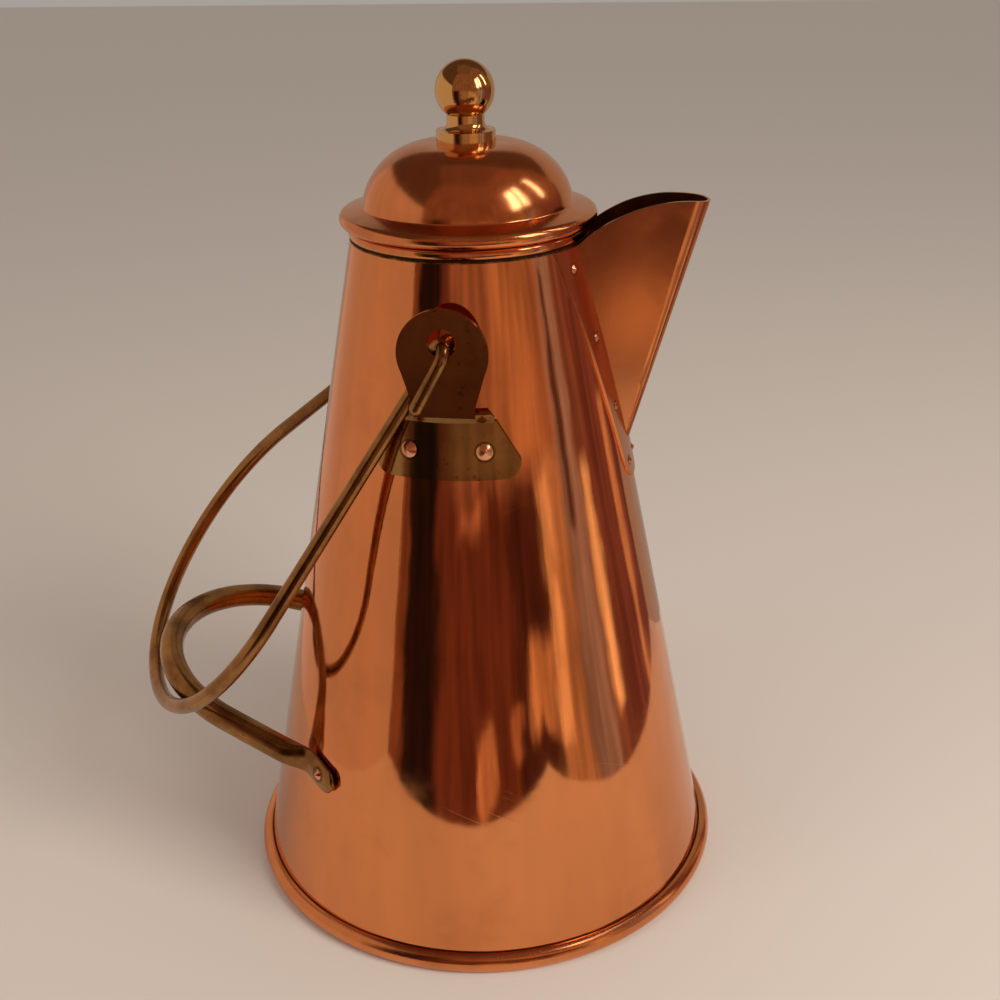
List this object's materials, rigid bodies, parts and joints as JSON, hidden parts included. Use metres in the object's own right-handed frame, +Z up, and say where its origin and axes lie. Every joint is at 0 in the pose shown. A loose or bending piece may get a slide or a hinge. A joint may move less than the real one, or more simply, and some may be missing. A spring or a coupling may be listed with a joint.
{
  "type": "coffee pot",
  "caption": "Tall conical copper coffee pot with a riveted beak spout, loose domed lid with brass knob, swinging brass bail and fixed tipping handle.",
  "frame": {"origin": "on the table, at the centre of the round base", "axes": "+Z up the pot's axis, +X towards the spout, +Y towards the ear that the picture hides"},
  "size_m": [0.2276, 0.1798, 0.2974],
  "materials": {
    "copper": "polished copper",
    "old_copper": "dull copper",
    "pale_copper": "rubbed bright",
    "brass": "aged, rubbed by the hand",
    "old_brass": "dark, aged",
    "bright_brass": "polished",
    "iron": "plain"
  },
  "bodies": {
    "pot": {"body_shell": "copper", "base_plate": "old_copper", "base_rim": "copper", "base_wire": "iron", "mouth_ring": "copper", "spout": "copper", "spout_rivets": "pale_copper", "ear_right": "old_brass", "ear_left": "old_brass", "ear_rivets_right": "pale_copper", "ear_rivets_left": "pale_copper", "tipping_handle": "brass", "tipping_handle_rivets": "pale_copper"},
    "lid": {"lid_shell": "copper", "lid_wire": "iron", "lid_skirt": "old_copper", "knob": "bright_brass", "knob_screw": "iron", "knob_washer": "old_copper"},
    "bail": {"bail": "brass"}
  },
  "joints": [
    {"name": "lid_lift", "type": "slide", "parent": "pot", "child": "lid", "axis": [0, 0, 1], "range_m": [0, 0.06]},
    {"name": "bail_swing", "type": "hinge", "parent": "pot", "child": "bail", "pos_m": [0, 0, 0.2182], "axis": [0, 1, 0], "range_deg": [0, 265]}
  ]
}
